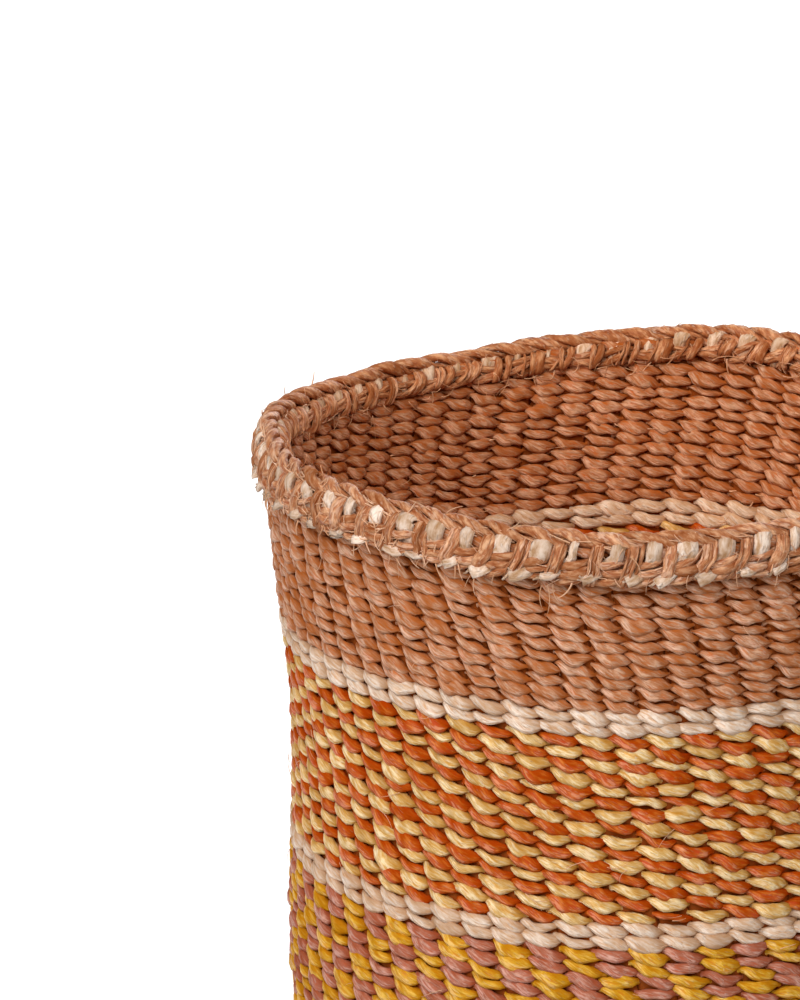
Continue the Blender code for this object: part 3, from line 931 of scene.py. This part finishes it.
# Single long ones that catch the eye at the front: (degrees, out, height, length, heading, lift, curl).
LONG_ONES = (
    (-15.6, 1.6, 187.4, 6.5, -112, 0.5, 0.7),
    (-15.0, 1.6, 187.6, 7.5, -72, 0.6, -0.6),
    (-14.2, 1.6, 187.4, 5.0, -98, 0.5, 0.8),
    (-31.5, -0.5, 199.4, 6.0, 50, 0.6, -0.6),
    (-33.0, -0.5, 199.4, 7.0, 146, 0.6, 0.6),
    (-22.0, 0.8, 198.9, 6.0, 15, 0.5, 0.6),
    (-9.0, 2.9, 195.5, 6.5, -60, 1.4, -1.5),
    (-7.5, 2.9, 196.0, 5.5, -100, 1.2, 1.2),
    (-3.5, 3.0, 195.6, 7.0, -20, 1.5, -1.6),
)
for fibre in LONG_ONES:
    stray(*fibre, thick=0.17)
stray_fibres = join_tubes("stray_fibres", stray_tubes, closed=False)
loose_tan = sisal(
    "loose_tan_fibre", (0.66, 0.36, 0.20), (0.82, 0.55, 0.37), (0.50, 0.22, 0.10), 2, 0.4, fuzz=0.5,
)
dress(stray_fibres, loose_tan, "rim_tan_fibre")

# Camera, at the viewing angle of the photograph, with the lens that gives its perspective. It stands where
# the middle of the rim falls on its pixel of the frame.
FRAME_HIGH = 1000
FRAME_WIDE = 800
SENSOR = 36.0
FOCAL_PIXELS = 5810.704
DISTANCE = 1.51087
RIM_PIXEL = (636.49, 420.681)
rise = math.radians(16.083)
roll = math.radians(-1.339)
rim_centre = np.array([0.0, 0.0, RIM_HEIGHT * MM])
level_right = np.array([1.0, 0.0, 0.0])
forward = np.array([0.0, math.cos(rise), -math.sin(rise)])
level_up = np.array([0.0, math.sin(rise), math.cos(rise)])
right = math.cos(roll) * level_right + math.sin(roll) * level_up
up = -math.sin(roll) * level_right + math.cos(roll) * level_up
shift_right = (RIM_PIXEL[0] - FRAME_WIDE / 2) / FOCAL_PIXELS * DISTANCE
shift_up = -(RIM_PIXEL[1] - FRAME_HIGH / 2) / FOCAL_PIXELS * DISTANCE
stand_point = rim_centre - (shift_right * right + shift_up * up + DISTANCE * forward)
bpy.ops.object.camera_add(location=stand_point)
camera = bpy.context.object
camera.data.sensor_width = SENSOR
camera.data.lens = FOCAL_PIXELS / FRAME_HIGH * SENSOR
camera.data.clip_start = 0.05
camera.data.clip_end = 20.0
camera.matrix_world = Matrix((
    (right[0], up[0], -forward[0], stand_point[0]),
    (right[1], up[1], -forward[1], stand_point[1]),
    (right[2], up[2], -forward[2], stand_point[2]),
    (0, 0, 0, 1),
))
bpy.context.scene.camera = camera

# The floor: a plain pale sheet of matt paper, seamless and level. It shows as white and keeps the basket's
# shadow.
FLOOR_SIZE = 8.0
PAPER_GREY = 0.62
PAPER_LIFT = 0.75


def seen_rays(nodes, links):
    """1 for a ray that shows a thing to the camera, also in a gloss or through glass, and 0 for others."""
    path = nodes.new("ShaderNodeLightPath")
    added = nodes.new("ShaderNodeMath")
    added.operation = "ADD"
    links.new(path.outputs["Is Camera Ray"], added.inputs[0])
    links.new(path.outputs["Is Glossy Ray"], added.inputs[1])
    seen = nodes.new("ShaderNodeMath")
    seen.operation = "ADD"
    seen.use_clamp = True
    links.new(added.outputs["Value"], seen.inputs[0])
    links.new(path.outputs["Is Transmission Ray"], seen.inputs[1])
    return seen.outputs["Value"]


bpy.ops.mesh.primitive_plane_add(size=FLOOR_SIZE)
floor = bpy.context.object
floor.name = "pale_floor"
paper = bpy.data.materials.new("pale_paper")
paper.use_nodes = True
nodes = paper.node_tree.nodes
links = paper.node_tree.links
nodes.remove(nodes["Principled BSDF"])
matt = nodes.new("ShaderNodeBsdfDiffuse")
matt.inputs["Color"].default_value = (PAPER_GREY, PAPER_GREY, PAPER_GREY, 1)
lift = nodes.new("ShaderNodeMath")
lift.operation = "MULTIPLY"
lift.inputs[1].default_value = PAPER_LIFT
links.new(seen_rays(nodes, links), lift.inputs[0])
glow = nodes.new("ShaderNodeEmission")
links.new(lift.outputs["Value"], glow.inputs["Strength"])
sum_up = nodes.new("ShaderNodeAddShader")
links.new(matt.outputs["BSDF"], sum_up.inputs[0])
links.new(glow.outputs["Emission"], sum_up.inputs[1])
links.new(sum_up.outputs["Shader"], nodes["Material Output"].inputs["Surface"])
floor.data.materials.append(paper)

# Light: a white room seen as white, two soft lamps in front, the stronger one to the left, and a weaker
# one behind. All are aimed at the middle of the basket.
world = bpy.data.worlds.new("white_room")
bpy.context.scene.world = world
world.use_nodes = True
nodes = world.node_tree.nodes
links = world.node_tree.links
room = nodes["Background"]
room.inputs["Color"].default_value = (1, 1, 1, 1)
room.inputs["Strength"].default_value = 0.25
backdrop = nodes.new("ShaderNodeBackground")
backdrop.inputs["Strength"].default_value = 1.0
choice = nodes.new("ShaderNodeMixShader")
links.new(seen_rays(nodes, links), choice.inputs["Fac"])
links.new(room.outputs["Background"], choice.inputs[1])
links.new(backdrop.outputs["Background"], choice.inputs[2])
links.new(choice.outputs["Shader"], nodes["World Output"].inputs["Surface"])

basket_middle = Vector((0.0, 0.0, 0.11))
LAMPS = (
    ("key_lamp", (-1.5, -1.2, 1.3), 1.4, 27.0),
    ("front_lamp", (0.1, -1.45, 1.75), 1.6, 26.0),
    ("back_lamp", (0.7, 1.7, 0.9), 1.8, 18.0),
)
for name, spot, size, power in LAMPS:
    bpy.ops.object.light_add(type="AREA", location=spot)
    lamp = bpy.context.object
    lamp.name = name
    lamp.data.shape = "DISK"
    lamp.data.size = size
    lamp.data.energy = power
    aim = basket_middle - Vector(spot)
    lamp.rotation_euler = aim.to_track_quat("-Z", "Y").to_euler()

bpy.context.scene.view_settings.view_transform = "Standard"
